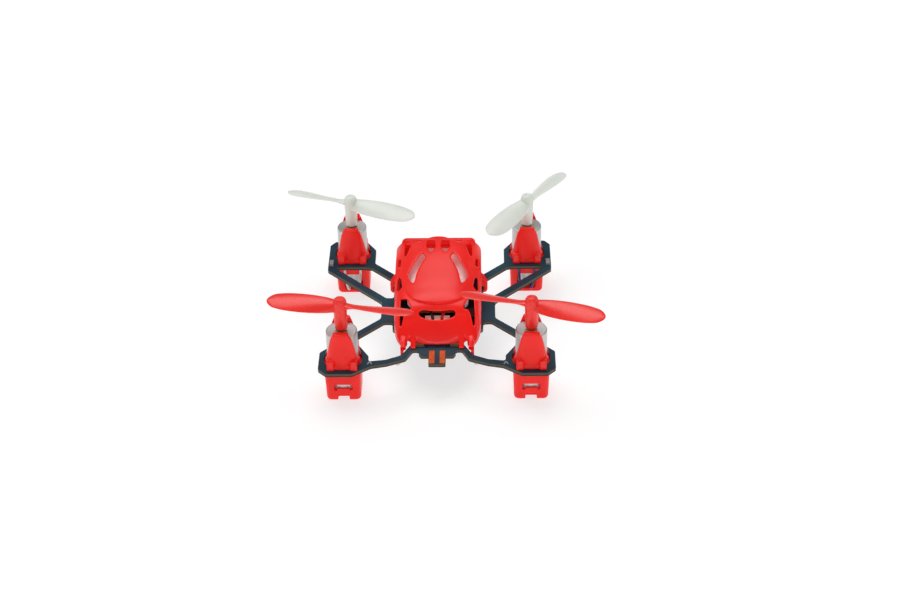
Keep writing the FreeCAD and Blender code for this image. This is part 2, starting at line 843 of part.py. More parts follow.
def make_switch_slider():
    """Switch knob, drawn at its left-hand stop."""
    half = (3.2 - switch_travel) / 2 - slide_clearance / 2
    z0 = board_bottom - 1.1 + slide_clearance
    z1 = board_bottom - 0.3 - slide_clearance
    x0 = -1.6 + slide_clearance / 2
    y0 = body_rear_y - 1.4 + slide_clearance
    plate_part = box(x0, x0 + 2 * half, y0, body_rear_y - 0.5, z0, z1)
    knob_x1 = x0 + 2 * half - 0.3
    knob = box(x0 + 0.3, knob_x1, body_rear_y - 0.6, body_rear_y + 0.9, z0 + 0.05, z1 - 0.05)
    return plate_part.fuse(knob).removeSplitter()


# ---- write every node ----
os.makedirs("parts", exist_ok=True)

save("frame_board", make_board())
save("charging_contacts", *make_contacts())
save("canopy", make_canopy())
save("battery_cell", make_cell())
save("battery_tape", make_tape())
save("protection_board", make_protection_board())
save("foam_pad", make_pad())
save("battery_socket", make_socket())
save("battery_plug", make_plug())
save("battery_wire_red", make_battery_wire(1))
save("battery_wire_black", make_battery_wire(-1))
save("microcontroller", chip(0, -1.0, chip_side, chip_side, chip_height))
save("radio_chip", chip(0, 4.6, 4.0, 4.0, chip_height))
save("gyro_sensor", chip(0, -6.4, 3.0, 3.0, chip_height))
save("crystal", chip(-4.9, 1.4, 1.6, 2.4, 0.7))
save("motor_transistors", *make_transistors())
save("capacitors", *make_capacitors())
save("resistors", *make_resistors())
save("front_lamps", *make_front_leds())
save("rear_lamps", *make_rear_leds())
save("antenna_wire", make_antenna())
save("switch_housing", make_switch_housing())
save("switch_slider", make_switch_slider())

for corner, (blade_angle, sense) in ROTORS.items():
    save("motor_holder_" + corner, place(make_holder(), corner))
    save("motor_can_" + corner, place(make_can(), corner))
    save("motor_leads_" + corner, *[place(lead, corner) for lead in make_leads()])
    save("coil_" + corner, place(make_coil(), corner))
    save("commutator_" + corner, place(make_commutator(), corner))
    save("shaft_" + corner, place(make_shaft(), corner))
    blades = make_propeller()
    if sense < 0:
        blades = mirrored(blades, V(0, 1, 0))
    blades.rotate(V(0, 0, 0), V(0, 0, 1), blade_angle)
    blades.translate(V(CORNERS[corner][0] * motor_x, CORNERS[corner][1] * motor_y, 0))
    save("propeller_" + corner, blades)

save("motor_magnets", *[place(make_magnet(), corner) for corner in CORNERS])
save("motor_end_caps", *[place(make_end_cap(), corner) for corner in CORNERS])
save("motor_bushes", *[place(bush, corner) for corner in CORNERS for bush in make_bushes()])
save("motor_brushes", *[place(brush, corner) for corner in CORNERS for brush in make_brushes()])
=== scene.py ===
"""Looks of the mini palm drone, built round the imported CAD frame."""

import math

import bpy
import numpy as np
from mathutils import Matrix, Vector


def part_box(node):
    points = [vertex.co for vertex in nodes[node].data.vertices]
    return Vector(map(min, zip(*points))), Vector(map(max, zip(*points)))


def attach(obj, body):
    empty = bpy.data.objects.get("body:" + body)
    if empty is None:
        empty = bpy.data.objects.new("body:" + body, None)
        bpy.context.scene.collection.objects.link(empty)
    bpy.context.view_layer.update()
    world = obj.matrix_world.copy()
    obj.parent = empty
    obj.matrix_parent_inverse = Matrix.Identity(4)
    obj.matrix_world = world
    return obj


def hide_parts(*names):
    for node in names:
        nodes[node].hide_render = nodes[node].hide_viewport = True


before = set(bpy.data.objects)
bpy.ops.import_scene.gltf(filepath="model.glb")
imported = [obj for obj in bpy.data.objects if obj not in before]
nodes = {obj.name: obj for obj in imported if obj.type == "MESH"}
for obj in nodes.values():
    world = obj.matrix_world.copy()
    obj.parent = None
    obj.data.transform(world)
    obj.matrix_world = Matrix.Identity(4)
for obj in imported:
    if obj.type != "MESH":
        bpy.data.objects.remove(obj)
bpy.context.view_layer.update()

MM = 0.001
# corner: 1 at the rear, -1 at the front; blade line at rest in degrees; sense seen from above, as in the CAD
CORNERS = {
    "front_left": (-1, -9.5, -1),
    "front_right": (-1, -17.0, 1),
    "rear_left": (1, -21.5, 1),
    "rear_right": (1, 56.5, -1),
}


def mid(node):
    """Centre of a CAD node's box, in millimetres."""
    low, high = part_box(node)
    return (low + high) / 2 / MM


can_mid = {corner: mid("motor_can_" + corner) for corner in CORNERS}
board_low, board_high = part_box("frame_board")
BOARD_BOTTOM, BOARD_TOP = board_low.z / MM, board_high.z / MM
CAN_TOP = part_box("motor_can_front_left")[1].z / MM
CAN_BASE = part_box("motor_can_front_left")[0].z / MM
HUB_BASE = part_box("propeller_front_left")[0].z / MM
HUB_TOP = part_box("propeller_front_left")[1].z / MM


# ---- fields: signed distances on a grid, in millimetres ----
def smin(a, b, k):
    h = np.clip(0.5 + 0.5 * (b - a) / k, 0, 1)
    return b + (a - b) * h - k * h * (1 - h)


def smax(a, b, k):
    return -smin(-a, -b, k)


def box_field(grid, low, high, r):
    """Box with rounded edges."""
    q = [np.abs(g - (a + b) / 2) - (b - a) / 2 + r for g, a, b in zip(grid, low, high)]
    outside = np.sqrt(sum(np.maximum(c, 0) ** 2 for c in q))
    return outside + np.minimum(np.maximum(np.maximum(q[0], q[1]), q[2]), 0) - r


def polygon_field(u, v, points):
    """Distance to a polygon in two of the grid's directions."""
    u, v = np.broadcast_arrays(u, v)
    far = np.full(u.shape, 1e9)
    inside = np.zeros(u.shape, bool)
    for (ax, ay), (bx, by) in zip(points, points[1:] + points[:1]):
        ex, ey = bx - ax, by - ay
        t = np.clip(((u - ax) * ex + (v - ay) * ey) / (ex * ex + ey * ey), 0, 1)
        far = np.minimum(far, (u - ax - ex * t) ** 2 + (v - ay - ey * t) ** 2)
        if ay != by:
            inside ^= ((ay > v) != (by > v)) & (u < ex * (v - ay) / ey + ax)
    return np.where(inside, -1, 1) * np.sqrt(far)


def even(field, pitch):
    """Scales a field so that it grows by one per millimetre near its surface."""
    slope = np.sqrt(sum(g ** 2 for g in np.gradient(field, pitch)))
    return field / np.maximum(slope, 0.03)


def curve(t, points):
    """Smooth curve through (t, value) points."""
    xs = np.array([p[0] for p in points], float)
    ys = np.array([p[1] for p in points], float)
    slope = np.gradient(ys, xs)
    t = np.clip(t, xs[0], xs[-1])
    i = np.clip(np.searchsorted(xs, t) - 1, 0, len(xs) - 2)
    h = xs[i + 1] - xs[i]
    s = (t - xs[i]) / h
    a = (1 + 2 * s) * (1 - s) ** 2
    b = s * (1 - s) ** 2
    c = s * s * (3 - 2 * s)
    d = s * s * (s - 1)
    return a * ys[i] + b * h * slope[i] + c * ys[i + 1] + d * h * slope[i + 1]


def grid_of(low, high, pitch):
    """Open grid of x, y and z."""
    axes = [a + pitch * np.arange(int(round((b - a) / pitch)) + 1) for a, b in zip(low, high)]
    return axes[0][:, None, None], axes[1][None, :, None], axes[2][None, None, :]


def surface_net(field, low, pitch):
    """Quad mesh of a field's zero surface."""
    inside = field < 0
    size = [n - 1 for n in field.shape]

    def corner(a):
        return tuple(slice(o, o + n) for o, n in zip(a, size))

    corners = [(i, j, k) for i in (0, 1) for j in (0, 1) for k in (0, 1)]
    count = sum(inside[corner(a)].astype(np.int8) for a in corners)
    cells = np.argwhere((count > 0) & (count < 8))
    number = np.full(size, -1, np.int64)
    number[tuple(cells.T)] = np.arange(len(cells))
    total = np.zeros((len(cells), 3))
    hits = np.zeros(len(cells))
    for a in corners:
        for axis in range(3):
            if a[axis]:
                continue
            b = list(a)
            b[axis] = 1
            fa = field[tuple((cells + a).T)]
            fb = field[tuple((cells + b).T)]
            cross = (fa < 0) != (fb < 0)
            t = np.where(cross, fa / np.where(cross, fa - fb, 1), 0)
            point = np.tile(np.array(a, float), (len(cells), 1))
            point[:, axis] += t
            total += point * cross[:, None]
            hits += cross
    verts = np.array(low) + (cells + total / hits[:, None]) * pitch
    faces = []
    for axis in range(3):
        lower = [slice(None)] * 3
        upper = [slice(None)] * 3
        lower[axis] = slice(0, -1)
        upper[axis] = slice(1, None)
        first, second = inside[tuple(lower)], inside[tuple(upper)]
        edges = np.argwhere(first != second)
        u, v = (axis + 1) % 3, (axis + 2) % 3
        loop = []
        for du, dv in ((-1, -1), (0, -1), (0, 0), (-1, 0)):
            cell = edges.copy()
            cell[:, u] += du
            cell[:, v] += dv
            loop.append(number[tuple(cell.T)])
        quads = np.stack(loop, 1)
        outward = first[tuple(edges.T)]
        quads[~outward] = quads[~outward][:, ::-1]
        faces.append(quads)
    return verts, np.concatenate(faces)


def relax(verts, faces, rounds, amount=0.5):
    """Evens out a net by moving each vertex towards its neighbours."""
    pairs = np.concatenate([faces[:, [0, 1]], faces[:, [1, 2]], faces[:, [2, 3]], faces[:, [3, 0]]])
    degree = np.bincount(pairs.ravel(), minlength=len(verts)).astype(float)[:, None]
    for _ in range(rounds):
        total = np.zeros_like(verts)
        for c in range(3):
            total[:, c] = np.bincount(pairs[:, 0], verts[pairs[:, 1], c], len(verts))
            total[:, c] += np.bincount(pairs[:, 1], verts[pairs[:, 0], c], len(verts))
        verts = verts + amount * (total / degree - verts)
    return verts


def mesh_object(name, verts, faces, material, body, smooth=True):
    """Object from millimetre vertices, riding on a body."""
    mesh = bpy.data.meshes.new(name)
    mesh.from_pydata((np.asarray(verts, float) * MM).tolist(), [], [list(map(int, f)) for f in faces])
    mesh.polygons.foreach_set("use_smooth", [smooth] * len(mesh.polygons))
    mesh.materials.append(material)
    mesh.update()
    obj = bpy.data.objects.new(name, mesh)
    bpy.context.scene.collection.objects.link(obj)
    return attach(obj, body)


def mirror_half(field):
    """Whole field from its half at x = 0 and above."""
    return np.concatenate([field[:0:-1], field], 0)


# ---- materials ----
DARKER = 0.86  # second colour of a material that names none
EDGE_ON = 0.5  # share of Z in its normal below which a face of the board is its edge


def material(name, colour, rough, metallic=0.0, **options):
    """Procedural material: two close colours mixed by noise, with grain in its roughness and bump."""
    mat = bpy.data.materials.new(name)
    mat.use_nodes = True
    tree = mat.node_tree
    shader = tree.nodes["Principled BSDF"]
    coords = tree.nodes.new("ShaderNodeTexCoord").outputs["Object"]

    def noise(scale, detail=2.0, stretch=None):
        node = tree.nodes.new("ShaderNodeTexNoise")
        node.inputs["Scale"].default_value = scale
        node.inputs["Detail"].default_value = detail
        vector = coords
        if stretch:
            mapping = tree.nodes.new("ShaderNodeMapping")
            mapping.inputs["Scale"].default_value = stretch
            tree.links.new(coords, mapping.inputs["Vector"])
            vector = mapping.outputs["Vector"]
        tree.links.new(vector, node.inputs["Vector"])
        return node.outputs["Fac"]

    def spread(value, low, high):
        node = tree.nodes.new("ShaderNodeMapRange")
        node.inputs["From Min"].default_value = 0.3
        node.inputs["From Max"].default_value = 0.7
        node.inputs["To Min"].default_value = low
        node.inputs["To Max"].default_value = high
        tree.links.new(value, node.inputs["Value"])
        return node.outputs["Result"]

    def mix(factor, a, b):
        node = tree.nodes.new("ShaderNodeMix")
        node.data_type = "RGBA"
        for socket, value in ((node.inputs["Factor"], factor), (node.inputs[6], a), (node.inputs[7], b)):
            if isinstance(value, (tuple, list)):
                socket.default_value = (*value[:3], 1)
            elif isinstance(value, float):
                socket.default_value = value
            else:
                tree.links.new(value, socket)
        return node.outputs[2]

    stretch = options.get("stretch")
    other = options.get("other", tuple(c * DARKER for c in colour))
    patch = spread(noise(options.get("patch_scale", 350.0), 3.0, stretch), 0.0, 1.0)
    base = mix(patch, tuple(colour), tuple(other))
    paint = options.get("paint")
    if paint:
        base = paint(tree, coords, base, mix, noise, spread)
    tree.links.new(base, shader.inputs["Base Color"])
    grain = noise(options.get("grain_scale", 6000.0), 2.0, stretch)
    change = options.get("rough_change", 0.06)
    tree.links.new(spread(grain, rough - change, rough + change), shader.inputs["Roughness"])
    bump = tree.nodes.new("ShaderNodeBump")
    bump.inputs["Strength"].default_value = options.get("bump", 0.12)
    bump.inputs["Distance"].default_value = options.get("bump_depth", 0.00003)
    tree.links.new(grain, bump.inputs["Height"])
    tree.links.new(bump.outputs["Normal"], shader.inputs["Normal"])
    shader.inputs["Metallic"].default_value = metallic
    for socket, value in options.get("sockets", {}).items():
        shader.inputs[socket].default_value = value
    return mat


def glow(weight, scale, radius=(1.0, 0.25, 0.15)):
    """Sockets for plastic that lets some light through."""
    return {"Subsurface Weight": weight, "Subsurface Scale": scale * MM, "Subsurface Radius": radius}


def paint_board(tree, coords, base, mix, noise, spread):
    """Solder mask on the two faces, bare laminate with a dark core line on the edges."""
    geometry = tree.nodes.new("ShaderNodeNewGeometry")
    parts = tree.nodes.new("ShaderNodeSeparateXYZ")
    tree.links.new(geometry.outputs["Normal"], parts.inputs["Vector"])
    size = tree.nodes.new("ShaderNodeMath")
    size.operation = "ABSOLUTE"
    tree.links.new(parts.outputs["Z"], size.inputs[0])
    edge = tree.nodes.new("ShaderNodeMath")
    edge.operation = "LESS_THAN"
    edge.inputs[1].default_value = EDGE_ON
    tree.links.new(size.outputs["Value"], edge.inputs[0])
    place = tree.nodes.new("ShaderNodeSeparateXYZ")
    tree.links.new(coords, place.inputs["Vector"])
    level = tree.nodes.new("ShaderNodeMapRange")
    level.inputs["From Min"].default_value = BOARD_BOTTOM * MM
    level.inputs["From Max"].default_value = BOARD_TOP * MM
    tree.links.new(place.outputs["Z"], level.inputs["Value"])
    ramp = tree.nodes.new("ShaderNodeValToRGB")
    stops = [(0.0, (0.012, 0.010, 0.008)), (0.20, (0.03, 0.024, 0.016)), (0.34, (0.10, 0.085, 0.055)),
             (0.78, (0.12, 0.105, 0.07)), (0.9, (0.03, 0.04, 0.04)), (1.0, (0.01, 0.04, 0.05))]
    for i, (at, colour) in enumerate(stops):
        stop = ramp.color_ramp.elements[i] if i < 2 else ramp.color_ramp.elements.new(at)
        stop.position = at
        stop.color = (*colour, 1)
    tree.links.new(level.outputs["Result"], ramp.inputs["Fac"])
    fibres = mix(spread(noise(2500.0, 4.0, (1, 1, 6)), 0.0, 0.5), ramp.outputs["Color"], (0.05, 0.032, 0.02))
    return mix(edge.outputs["Value"], base, fibres)


# painted glow: red emission that stands in for light coming through the red plastic
PAINTED_GLOW = {"Emission Color": (1.0, 0.012, 0.005, 1), "Emission Strength": 0.13}
RED = (0.86, 0.012, 0.008)
RED_DEEP = (0.79, 0.008, 0.006)
# red_shell and red_holder both carry the painted red glow in their emission sockets
red_shell = material(
    "red_shell", RED, 0.34, other=RED_DEEP, patch_scale=160.0, bump=0.10, grain_scale=9000.0,
    sockets={**glow(0.12, 0.6), **PAINTED_GLOW, "Specular IOR Level": 0.36})
red_holder = material(
    "red_holder", (0.84, 0.012, 0.008), 0.36, other=(0.74, 0.008, 0.005), patch_scale=260.0, bump=0.10,
    grain_scale=9000.0, sockets={**glow(0.12, 0.6), **PAINTED_GLOW, "Specular IOR Level": 0.34})
red_blade = material(
    "red_blade", (0.99, 0.034, 0.024), 0.30, other=(0.92, 0.03, 0.022), patch_scale=180.0, bump=0.05,
    sockets=glow(0.4, 1.0))
white_blade = material(
    "white_blade", (0.80, 0.84, 0.77), 0.38, other=(0.74, 0.79, 0.72), patch_scale=180.0, bump=0.05,
    sockets=glow(0.3, 1.0, (1.0, 1.0, 0.9)))
MATERIALS = {
    "circuit_board": material(
        "board_mask", (0.008, 0.062, 0.090), 0.42, other=(0.007, 0.020, 0.048), patch_scale=120.0, bump=0.06,
        grain_scale=3500.0, paint=paint_board, sockets={"Specular IOR Level": 0.22}),
    "gold_plate": material(
        "gold_plate", (0.60, 0.11, 0.012), 0.42, 0.6, other=(0.42, 0.065, 0.008), patch_scale=900.0),
    # painted glow: pinkish emission lightens the foil where it lies in shade inside the canopy
    "foil_pouch": material(
        "foil_pouch", (0.86, 0.86, 0.86), 0.26, 0.35, other=(0.80, 0.80, 0.81), patch_scale=300.0, bump=0.35,
        bump_depth=0.0001, grain_scale=500.0,
        sockets={"Emission Color": (1.0, 0.86, 0.85, 1), "Emission Strength": 0.13}),
    "amber_tape": material(
        "amber_tape", (0.46, 0.18, 0.02), 0.22, other=(0.22, 0.07, 0.01), patch_scale=600.0, bump=0.3,
        grain_scale=1500.0, sockets={"Coat Weight": 0.5}),
    "black_foam": material(
        "black_foam", (0.020, 0.020, 0.022), 0.9, bump=0.8, bump_depth=0.0001, grain_scale=4000.0),
    # painted glow: pink emission stands in for red light falling on the nylon through the plastic
    "white_nylon": material(
        "white_nylon", (0.93, 0.84, 0.80), 0.45, other=(0.88, 0.76, 0.72),
        sockets={**glow(0.3, 0.6), "Emission Color": (1.0, 0.55, 0.5, 1), "Emission Strength": 0.2}),
    "red_insulation": material("red_insulation", (0.55, 0.015, 0.012), 0.4),
    "black_insulation": material("black_insulation", (0.015, 0.015, 0.017), 0.42),
    "white_insulation": material("white_insulation", (0.78, 0.70, 0.68), 0.4),
    "blue_insulation": material("blue_insulation", (0.045, 0.035, 0.16), 0.4),
    "chip_resin": material("chip_resin", (0.018, 0.018, 0.02), 0.55, bump=0.3, grain_scale=8000.0),
    "ceramic": material("ceramic", (0.24, 0.11, 0.055), 0.45, other=(0.16, 0.07, 0.035), patch_scale=1200.0),
    "tinned_steel": material("tinned_steel", (0.62, 0.62, 0.63), 0.3, 0.9),
    "clear_lens": material(
        "clear_lens", (0.90, 0.90, 0.88), 0.12, other=(0.84, 0.85, 0.84),
        sockets={"Transmission Weight": 0.6, "IOR": 1.5}),
    "black_plastic": material("black_plastic", (0.018, 0.018, 0.02), 0.45, bump=0.25),
    "nickel_plate": material("nickel_plate", (0.55, 0.56, 0.58), 0.25, 0.9),
    "bronze": material("bronze", (0.50, 0.32, 0.14), 0.35, 0.9),
    "motor_steel": material(
        "motor_steel", (0.60, 0.61, 0.60), 0.36, 0.65, other=(0.54, 0.545, 0.535), patch_scale=260.0,
        stretch=(1, 1, 7), bump=0.03, bump_depth=0.000004, grain_scale=900.0, rough_change=0.03),
    "enamelled_copper": material("enamelled_copper", (0.45, 0.13, 0.04), 0.35, 0.8, stretch=(1, 1, 8)),
    "red_plastic": red_shell,
    "red_blade": red_blade,
    "white_blade": white_blade,
}
ink = material("silk_ink", (0.42, 0.46, 0.48), 0.6, bump=0.2)


# ---- canopy ----
WALL = 0.8
SEAT = BOARD_TOP + 0.05
SHELL_HALF = 8.5  # half width behind the cheeks
REAR_Y = 11.4
REAR_WALL_Y = 11.0
LEG_X = 4.67
FOOT_X = 6.55
LATCH_Y = 6.5
DRAW = math.radians(35.0)  # slant of the direction in which the top slots are cut

# lines along Y: half width, height of the sides, top of the hood and top of the body below it
WIDTH_LINE = [(-16.2, 6.2), (-15.5, 6.5), (-14.8, 6.97), (-14, 7.4), (-13, 7.83), (-12, 8.1), (-11, 8.3),
              (-10, 8.42), (-8, SHELL_HALF), (-4, SHELL_HALF), (12, SHELL_HALF)]
SIDE_LINE = [(-16, 6.0), (-15, 7.4), (-14.3, 8.2), (-13.6, 8.7), (-12.8, 9.1), (-11.3, 9.6), (-9.6, 10.0),
             (-5, 10.8), (0, 11.4), (5, 12.0), (12, 12.0)]
HOOD_LINE = [(-12, 13.4), (-9.6, 14.3), (-8.5, 14.8), (-5, 15.5), (0, 16.2), (5, 16.8), (12, 16.9)]
BODY_LINE = [(-16.2, 6.0), (-14.9, 8.0), (-14.4, 8.7), (-13.8, 9.45), (-13, 10.35), (-12, 11.35), (-11, 12.25),
             (-10.2, 13.2), (-9.4, 13.8), (-8, 14.25), (-5, 14.85), (0, 15.4), (5, 15.85), (12, 15.9)]
# squareness of the arches along Y
HOOD_POWER = [(-12, 2.3), (-5, 2.3), (0, 2.4), (12, 2.4)]
BODY_POWER = [(-16, 3.6), (-12.8, 3.2), (-10, 3.0), (-8, 3.0), (-5, 3.2), (0, 3.3), (12, 3.3)]
# lines across X: brow (slanted height), rear rim of the hood and front of the face (both in Y)
BROW_LINE = [(0, 6.42), (1.7, 6.5), (3.7, 6.85), (5.0, 7.45), (5.9, 8.4), (6.5, 9.6), (6.9, 11.4), (7.4, 15.0),
             (8.0, 22.0), (11, 40.0)]
RIM_LINE = [(0, 10.75), (1.4, 10.5), (2.6, 9.8), (4.0, 9.15), (5.2, 8.9), (6.4, 9.5), (7.2, 10.8), (8, 13),
            (11, 14)]
FACE_LINE = [(0, -14.85), (2.1, -14.62), (4.2, -13.95), (5.2, -13.7), (5.9, -14.6), (6.5, -15.3), (11, -15.3)]
SHOULDER_SIDE = [(-4, 11.0), (2, 12.4), (12, 12.6)]
SHOULDER_TOP = [(-4, 12.0), (2, 14.0), (12, 14.75)]
# openings on the +X half as (x, slanted height), how far they are rounded, the lowest Z and the last Y they reach
OPENINGS = [
    ([(0.95, 18.9), (2.0, 18.9), (2.2, 17.9), (1.8, 17.05), (1.46, 16.72), (1.05, 17.05), (0.68, 17.85)],
     0.14, 12.4, 9.8),
    ([(3.12, 16.2), (2.65, 15.5), (3.2, 14.6), (4.0, 13.1), (4.45, 11.8), (4.62, 10.85), (4.8, 10.45),
      (5.2, 10.8), (5.78, 11.6), (5.35, 12.8), (4.6, 14.1), (3.8, 15.4)], 0.13, 12.2, 7.5),
    ([(6.62, 17.98), (5.64, 17.98), (6.0, 16.9), (6.45, 15.86), (6.66, 15.86)], 0.1, 12.4, 9.9),
    ([(7.52, 15.0), (7.86, 15.0), (7.9, 13.55), (7.55, 13.75)], 0.09, 12.4, None),
    ([(7.56, 11.3), (7.36, 11.0), (7.1, 9.65), (7.7, 8.82), (7.88, 8.9), (7.82, 10.8)], 0.12, 11.2, None),
    ([(7.0, 7.0), (6.02, 7.0), (5.15, 5.5), (5.4, 5.32), (6.12, 5.25), (6.58, 4.2), (6.83, 3.1), (7.08, 2.0),
      (7.12, 4.0)], 0.12, 8.0, -2.6),
    ([(0, 4.66), (1.4, 4.72), (2.4, 4.88), (3.0, 4.86), (3.3, 4.66), (3.4, 4.35), (3.3, 4.05), (2.95, 3.8),
      (2.3, 3.55), (1.4, 3.36), (0, 3.28), (-1.4, 3.36), (-1.4, 4.72)], 0.14, 9.0, -8.4),
]
CHEEK_NOTCH = [(5.2, -1.2), (5.76, -0.78), (5.98, -3.4), (5.2, -3.4)]
# profiles of the side latch in X and Z, and of the foot and the jaw leg in Y and Z
LATCH = [(8.0, 7.8), (9.12, 7.8), (9.12, 6.85), (8.7, 6.85), (8.85, 6.4), (9.45, 6.4), (9.85, 6.9), (9.85, 8.5),
         (9.1, 9.8), (8.0, 10.6)]
FOOT = [(-13.4, 7.8), (-16.8, 7.8), (-16.8, 8.2), (-14.6, 9.3), (-13.4, 9.6)]
LEG = [(-12.9, 10.0), (-13.2, 9.95), (-14.3, 9.0), (-15.3, 8.05), (-15.4, 7.76), (-12.9, 7.76)]


def inset_box(u, v, wide, low, high, r):
    """Distance to a round-cornered box in two directions, |u| under wide and v from low to high."""
    a = np.abs(u) - wide + r
    b = np.abs(v - (low + high) / 2) - (high - low) / 2 + r
    return np.sqrt(np.maximum(a, 0) ** 2 + np.maximum(b, 0) ** 2) + np.minimum(np.maximum(a, b), 0) - r


def rear_frame(X, Y, Z, outer):
    """Upright frame at the back, with its ledge and the plates beside the opening."""
    bar = smax(inset_box(X, Z, 7.45, -20, 16.1, 1.0), np.abs(Y - 10.9) - 0.5, 0.25)
    bar = smax(bar, -inset_box(X, Z, 5.3, -20, 13.4, 1.2), 0.2)
    bar = smin(bar, box_field((X, Y, Z), (-6.9, 9.9, 14.55), (6.9, 10.6, 14.95), 0.1), 0.15)
    plate = smax(smax(np.abs(Y - REAR_WALL_Y) - 0.4, 5.3 - X, 0.2), outer + 0.1, 0.1)
    return smax(smin(bar, plate, 0.1), 9.0 - Z, 0.2)


def canopy_field(pitch):
    """Canopy as a field over its +X half, with the low corner of the whole grid."""
    low, high = (0.0, -18.4, 5.4), (10.8, 12.6, 18.0)
    X, Y, Z = grid_of(low, high, pitch)
    W = Y * math.sin(DRAW) + Z * math.cos(DRAW)

    def arch(w, side, top, p):
        u = X / w
        v = np.maximum(Z - side, 0) / (top - side)
        return even((u ** p + v ** p) ** (1 / p) - 1, pitch)

    # hood: from the brow over the front to the rim in front of the rear frame
    width = curve(Y, WIDTH_LINE)
    hood = arch(width, curve(Y, SIDE_LINE), curve(Y, HOOD_LINE), curve(Y, HOOD_POWER))
    hood = smax(smax(hood, even(curve(X, BROW_LINE) - W, pitch), 0.14), Y - curve(X, RIM_LINE), 0.3)
    # body below it: cheeks, face and chin in one skin, with squarer shoulders behind
    body = arch(width, curve(Y, SIDE_LINE), curve(Y, BODY_LINE), curve(Y, BODY_POWER))
    body = smax(body, curve(X, FACE_LINE) - Y, 0.5)
    shoulder = arch(SHELL_HALF, curve(Y, SHOULDER_SIDE), curve(Y, SHOULDER_TOP), 3.6)
    shoulder = smax(shoulder, -3.0 - Y, 0.3)
    outer = smin(smin(body, shoulder, 0.4), hood, 0.2)
    shell = smax(outer, -(outer + WALL), 0.12)
    shell = smin(shell, rear_frame(X, Y, Z, outer), 0.12)
    shell = smax(shell, Y - REAR_Y, 0.3)
    for points, r, lowest, last in OPENINGS:
        opening = smax(polygon_field(X, W, points) - r, lowest - Z, 0.1)
        if last is not None:
            opening = smax(opening, Y - last, 0.1)
        shell = smax(shell, -opening, 0.2)
    shell = smax(shell, SEAT - Z, 0.15)
    jaw = smax(smax(X - 4.25, Y + 12.4, 0.1), Z - BOARD_TOP - 0.45, 0.1)
    shell = smax(shell, -jaw, 0.15)
    notch = smax(polygon_field(X, W, CHEEK_NOTCH), Y + 12.6, 0.1)
    shell = smax(shell, -notch, 0.1)
    ear = smax(polygon_field(X, Z, LATCH), np.abs(Y - LATCH_Y) - 0.95, 0.3)
    foot = smax(polygon_field(Y, Z, FOOT), np.abs(X - FOOT_X) - 0.52, 0.2)
    post = box_field((X, Y, Z), (6.5, -16.1, 6.4), (7.1, -15.4, 8.5), 0.12)
    hook = box_field((X, Y, Z), (6.1, -16.9, 6.35), (7.1, -15.4, 6.85), 0.12)
    leg = smax(polygon_field(Y, Z, LEG), np.abs(X - LEG_X) - 0.52, 0.12)
    for part in (ear, smin(foot, smin(post, hook, 0.1), 0.1), leg):
        shell = smin(shell, part, 0.1)
    return mirror_half(shell), low


def net_of(half_field, pitch):
    """Relaxed net of a mirrored field."""
    field, low = half_field(pitch)
    left = -(field.shape[0] // 2) * pitch
    verts, faces = surface_net(field, (left, low[1], low[2]), pitch)
    return relax(verts, faces, 2), faces


def make_canopy():
    verts, faces = net_of(canopy_field, 0.15)
    canopy = mesh_object("canopy_shell", verts, faces, red_shell, "airframe")
    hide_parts("canopy")


# ---- motor holders ----
HOLDER_HALF = (3.5, 3.45)  # half width and half depth below the board
HOLDER_EDGE = 1.0
DRAFT = 0.03  # how much narrower the holder gets with each millimetre downwards
CAN_SEAT = 3.04  # radius that the motor case sits in
LOWER_BORE = 2.7
FLOOR_HOLE = 1.2
TONGUE_IN, TONGUE_OUT = 3.09, 3.62  # radii of the tongues' inner and outer faces
TONGUE = [(0, 5.9), (2.45, 5.9), (2.5, 7.6), (3.3, 8.0), (3.28, 8.5), (2.98, 9.2), (2.75, 10.1), (2.6, 11.0),
          (2.42, 12.0), (2.2, 13.1), (1.98, 14.1), (1.75, 14.8), (1.35, 15.5), (0, 15.72)]
BARB = [(2.0, 7.72), (4.12, 7.72), (4.15, 8.25), (3.6, 9.45), (2.0, 9.9)]
BARB_X = 2.22
TOE = [(2.0, 7.72), (3.75, 7.72), (3.62, 8.2), (2.0, 8.3)]


